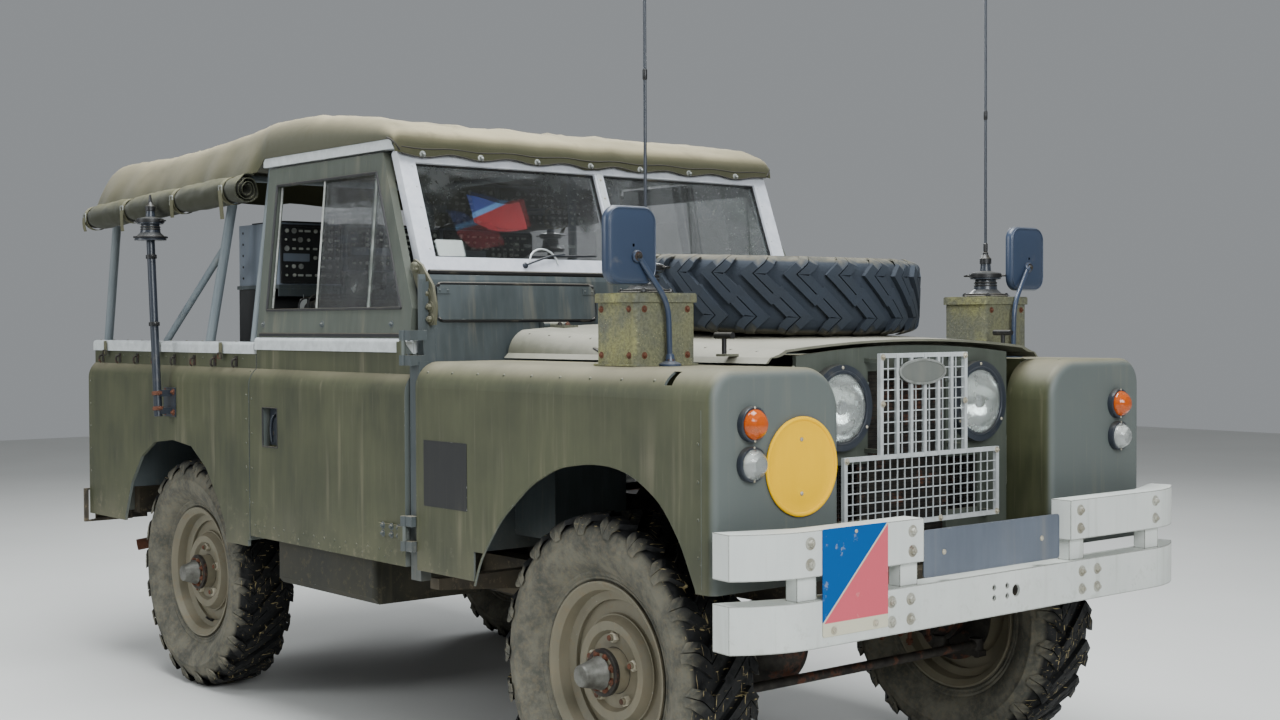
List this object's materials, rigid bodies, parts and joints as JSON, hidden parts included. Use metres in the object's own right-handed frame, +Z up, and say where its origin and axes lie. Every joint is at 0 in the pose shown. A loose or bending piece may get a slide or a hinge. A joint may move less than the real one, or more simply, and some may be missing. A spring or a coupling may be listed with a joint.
{
  "type": "army 4x4 car",
  "caption": "Short-wheelbase army 4x4 car with canvas hood, spare wheel on the bonnet and aerials; steering, wheels, doors, bonnet and tailgate move.",
  "frame": {"origin": "on the ground under the middle of the car", "axes": "+X forward, +Y to the car's left, +Z up; the tyres stand on z = 0"},
  "size_m": [3.7176, 1.8202, 2.6149],
  "materials": {
    "body_paint": "matt olive drab, dusty",
    "front_paint": "matt grey-green",
    "bonnet_paint": "matt, dusty tan",
    "wheel_paint": "matt, dusty",
    "bumper_paint": "off-white, chipped",
    "chassis_paint": "black with rust",
    "plate_paint": "yellow, white and two-colour plates",
    "galvanised": "worn galvanised",
    "dark_steel": "rusty and oily",
    "tyre_rubber": "dusty black",
    "black_rubber": "satin",
    "black_plastic": "satin",
    "box_plastic": "stained with lichen",
    "canvas": "sun-bleached canvas",
    "seat_cloth": "dark vinyl",
    "glass": "dusty",
    "clear_lens": "ribbed",
    "amber_lens": "ribbed",
    "red_lens": "ribbed",
    "radio_paint": "satin grey-green"
  },
  "bodies": {
    "car": {"front_axle": "dark_steel", "rear_axle": "dark_steel", "chassis_frame": "chassis_paint", "springs_and_dampers": "dark_steel", "engine_block": "dark_steel", "transmission": "dark_steel", "exhaust": "dark_steel", "fuel_tanks": "chassis_paint", "front_bumpers": "bumper_paint", "rear_bumperettes": "bumper_paint", "tow_pintle": "dark_steel", "wings": "body_paint", "radiator_panel": "front_paint", "grille": "galvanised", "lamp_bodies": "black_plastic", "clear_lenses": "clear_lens", "amber_lenses": "amber_lens", "red_lenses": "red_lens", "plates": "plate_paint", "bulkhead": "front_paint", "vent_flaps": "front_paint", "cab_floor": "front_paint", "windscreen_frame": "galvanised", "windscreen_glass": "glass", "cab_controls": "black_plastic", "tub": "body_paint", "load_floor": "body_paint", "seat_box": "body_paint", "seats": "seat_cloth", "cappings": "galvanised", "hood_frame": "galvanised", "canvas_hood": "canvas", "aerial_boxes": "box_plastic", "aerials": "black_rubber", "mirrors": "black_plastic", "feeder_lead": "black_rubber", "radio_sets": "radio_paint"},
    "knuckle_right": {"knuckle_right": "dark_steel"},
    "knuckle_left": {"knuckle_left": "dark_steel"},
    "track_rod": {"track_rod": "dark_steel"},
    "steering_wheel": {"steering_wheel": "black_plastic"},
    "door_right": {"door_right": "body_paint", "door_top_right": "body_paint", "door_glass_right": "glass"},
    "door_left": {"door_left": "body_paint", "door_top_left": "body_paint", "door_glass_left": "glass"},
    "bonnet": {"bonnet": "bonnet_paint", "bonnet_catches": "dark_steel", "spare_rim": "wheel_paint", "spare_tyre": "tyre_rubber"},
    "tailgate": {"tailgate": "body_paint"},
    "wheel_front_right": {"rim_front_right": "wheel_paint", "tyre_front_right": "tyre_rubber"},
    "wheel_front_left": {"rim_front_left": "wheel_paint", "tyre_front_left": "tyre_rubber"},
    "wheel_rear_right": {"rim_rear_right": "wheel_paint", "tyre_rear_right": "tyre_rubber"},
    "wheel_rear_left": {"rim_rear_left": "wheel_paint", "tyre_rear_left": "tyre_rubber"}
  },
  "joints": [
    {"name": "steer_right", "type": "hinge", "parent": "car", "child": "knuckle_right", "pos_m": [1.2, -0.545, 0.39], "axis": [0, 0, 1], "range_deg": [-25, 25]},
    {"name": "steer_left", "type": "hinge", "parent": "car", "child": "knuckle_left", "pos_m": [1.2, 0.545, 0.39], "axis": [0, 0, 1], "range_deg": [-25, 25]},
    {"name": "track_rod_end", "type": "hinge", "parent": "knuckle_right", "child": "track_rod", "pos_m": [1.33, -0.545, 0.318], "axis": [0, 0, 1], "range_deg": [-25, 25]},
    {"name": "steering_wheel_turn", "type": "hinge", "parent": "car", "child": "steering_wheel", "pos_m": [0.09, -0.395, 1.225], "axis": [-0.8003, 0, 0.5996], "range_deg": [-375, 375]},
    {"name": "spin_front_right", "type": "hinge", "parent": "knuckle_right", "child": "wheel_front_right", "pos_m": [1.2, -0.654, 0.39], "axis": [0, 1, 0], "continuous": true},
    {"name": "spin_front_left", "type": "hinge", "parent": "knuckle_left", "child": "wheel_front_left", "pos_m": [1.2, 0.654, 0.39], "axis": [0, 1, 0], "continuous": true},
    {"name": "spin_rear_right", "type": "hinge", "parent": "car", "child": "wheel_rear_right", "pos_m": [-1.035, -0.654, 0.39], "axis": [0, 1, 0], "continuous": true},
    {"name": "spin_rear_left", "type": "hinge", "parent": "car", "child": "wheel_rear_left", "pos_m": [-1.035, 0.654, 0.39], "axis": [0, 1, 0], "continuous": true},
    {"name": "door_right_hinge", "type": "hinge", "parent": "car", "child": "door_right", "pos_m": [0.458, -0.827, 0.924], "axis": [0, 0, 1], "range_deg": [0, 80]},
    {"name": "door_left_hinge", "type": "hinge", "parent": "car", "child": "door_left", "pos_m": [0.458, 0.827, 0.924], "axis": [0, 0, -1], "range_deg": [0, 80]},
    {"name": "bonnet_hinge", "type": "hinge", "parent": "car", "child": "bonnet", "pos_m": [0.494, 0, 1.238], "axis": [0, -1, 0], "range_deg": [0, 45]},
    {"name": "tailgate_hinge", "type": "hinge", "parent": "car", "child": "tailgate", "pos_m": [-1.78, 0, 0.666], "axis": [0, -1, 0], "range_deg": [0, 90]}
  ],
  "couplings": [
    {"joint": "steer_left", "follows": "steer_right", "ratio": 1},
    {"joint": "track_rod_end", "follows": "steer_right", "ratio": -1},
    {"joint": "steering_wheel_turn", "follows": "steer_right", "ratio": 15}
  ]
}
